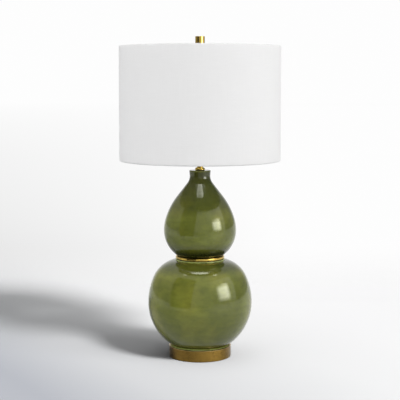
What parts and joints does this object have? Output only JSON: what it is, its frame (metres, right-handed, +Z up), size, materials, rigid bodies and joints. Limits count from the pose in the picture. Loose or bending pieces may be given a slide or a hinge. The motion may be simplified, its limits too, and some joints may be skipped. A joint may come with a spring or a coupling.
{
  "type": "table lamp",
  "caption": "Table lamp: stacked glazed ceramic gourds on a round metal plinth with a metal waist ring, under a straight drum shade held on a harp by a cylindrical finial.",
  "frame": {"origin": "on the lamp's axis, on the underside of the felt pad that it stands on", "axes": "+Z up along the lamp's axis, +Y towards the back where the cord outlet is, +X to the right, where the switch knob is"},
  "size_m": [0.3559, 0.356, 0.711],
  "materials": {
    "polished_brass": "polished",
    "antique_brass": "brushed and toned",
    "green_glaze": "gloss",
    "white_fabric": "fine plain weave",
    "shade_plastic": "satin",
    "harp_metal": "satin",
    "black_plastic": "gloss",
    "insulator": "moulded",
    "bulb_glass": "frosted",
    "aluminium": "rolled",
    "cast_weight": "as cast",
    "felt": "felt",
    "rubber": "matte",
    "liner_card": "matte",
    "zinc_steel": "zinc plated",
    "grey_board": "matte",
    "lead_white": "satin",
    "lead_black": "satin"
  },
  "bodies": {
    "lamp": {"felt_pad": "felt", "base_cover": "grey_board", "base_shell": "antique_brass", "base_weight": "cast_weight", "cord_gland": "black_plastic", "threaded_rod": "zinc_steel", "rod_bottom_washer": "zinc_steel", "rod_bottom_nut": "zinc_steel", "rod_top_nut": "harp_metal", "foot_gasket": "rubber", "lower_gourd": "green_glaze", "waist_ring": "polished_brass", "waist_gasket_lower": "rubber", "waist_gasket_upper": "rubber", "upper_gourd": "green_glaze", "neck_gasket": "rubber", "neck_cap": "polished_brass", "neck_tube": "polished_brass", "harp_saddle": "harp_metal", "harp_wire": "harp_metal", "harp_stud": "harp_metal", "socket_cap": "polished_brass", "cap_set_screw": "zinc_steel", "socket_shell": "polished_brass", "socket_liner": "liner_card", "socket_body": "insulator", "terminal_screws": "polished_brass", "socket_screw_shell": "aluminium", "socket_contact": "polished_brass", "lead_live": "lead_black", "lead_neutral": "lead_white", "wire_nuts": "lead_white"},
    "switch": {"switch_shaft": "black_plastic", "switch_knob": "black_plastic"},
    "shade": {"shade_fabric": "white_fabric", "shade_liner": "shade_plastic", "shade_top_ring": "zinc_steel", "shade_bottom_ring": "zinc_steel", "shade_top_hem": "white_fabric", "shade_bottom_hem": "white_fabric", "spider_hub": "harp_metal", "spider_arms": "harp_metal"},
    "finial_bush": {"finial_insert": "polished_brass"},
    "finial": {"finial_knob": "polished_brass"},
    "sleeve_left": {"harp_sleeve_left": "harp_metal"},
    "sleeve_right": {"harp_sleeve_right": "harp_metal"},
    "bulb_core": {"bulb_contact": "zinc_steel", "bulb_insulator": "insulator"},
    "bulb": {"bulb_globe": "bulb_glass", "bulb_cap": "aluminium"}
  },
  "joints": [
    {"name": "switch_turn", "type": "hinge", "parent": "lamp", "child": "switch", "pos_m": [0.0185, 0, 0.4775], "axis": [1, 0, 0], "continuous": true},
    {"name": "shade_turn", "type": "hinge", "parent": "lamp", "child": "shade", "pos_m": [0, 0, 0.675], "axis": [0, 0, 1], "continuous": true},
    {"name": "finial_rise", "type": "slide", "parent": "lamp", "child": "finial_bush", "axis": [0, 0, 1], "range_m": [0, 0.0113]},
    {"name": "finial_turn", "type": "hinge", "parent": "finial_bush", "child": "finial", "pos_m": [0, 0, 0.6765], "axis": [0, 0, 1], "range_deg": [0, 4410]},
    {"name": "sleeve_left_slide", "type": "slide", "parent": "lamp", "child": "sleeve_left", "axis": [0, 0, 1], "range_m": [0, 0.014]},
    {"name": "sleeve_right_slide", "type": "slide", "parent": "lamp", "child": "sleeve_right", "axis": [0, 0, 1], "range_m": [0, 0.014]},
    {"name": "bulb_rise", "type": "slide", "parent": "lamp", "child": "bulb_core", "axis": [0, 0, 1], "range_m": [0, 0.0163]},
    {"name": "bulb_turn", "type": "hinge", "parent": "bulb_core", "child": "bulb", "pos_m": [0, 0, 0.4894], "axis": [0, 0, 1], "range_deg": [0, 1640]}
  ],
  "couplings": [
    {"joint": "finial_turn", "follows": "finial_rise", "rad_per_m": 6679},
    {"joint": "bulb_turn", "follows": "bulb_rise", "rad_per_m": 1730.9}
  ]
}
